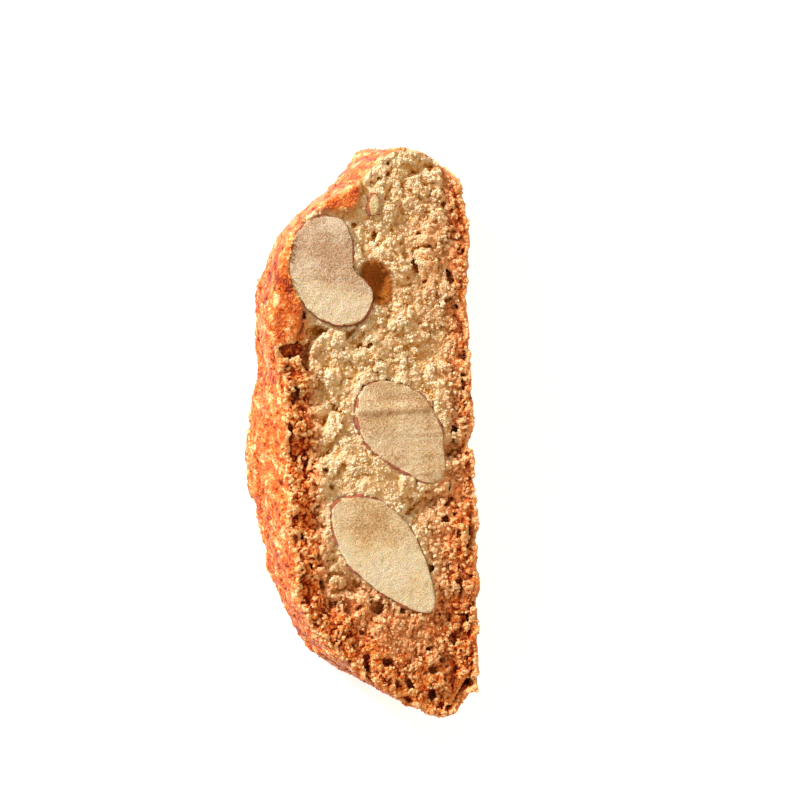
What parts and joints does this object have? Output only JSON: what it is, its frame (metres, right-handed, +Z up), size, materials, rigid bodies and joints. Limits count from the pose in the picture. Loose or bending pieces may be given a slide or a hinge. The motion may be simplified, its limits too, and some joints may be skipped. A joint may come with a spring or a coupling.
{
  "type": "almond biscotto",
  "caption": "Slice of twice-baked almond loaf with a domed crust, a flat base side and cut almonds in both faces, lying on its back cut face.",
  "frame": {"origin": "on the table, under the middle of the slice's bounding box", "axes": "+X towards the loaf's flat base side, +Y along the slice towards its blunt end, +Z up out of the front cut face"},
  "size_m": [0.0337, 0.0873, 0.0138],
  "materials": {
    "baked_crumb": "dry, torn and granular on the cut faces, smooth with a slight gloss on the crust",
    "almond": "matt, smoothly cut"
  },
  "bodies": {
    "root": {"biscotto": "baked_crumb", "almond_top": "almond", "almond_middle": "almond", "almond_lower": "almond", "almond_chip": "almond", "almond_back_upper": "almond", "almond_back_lower": "almond"}
  },
  "joints": []
}
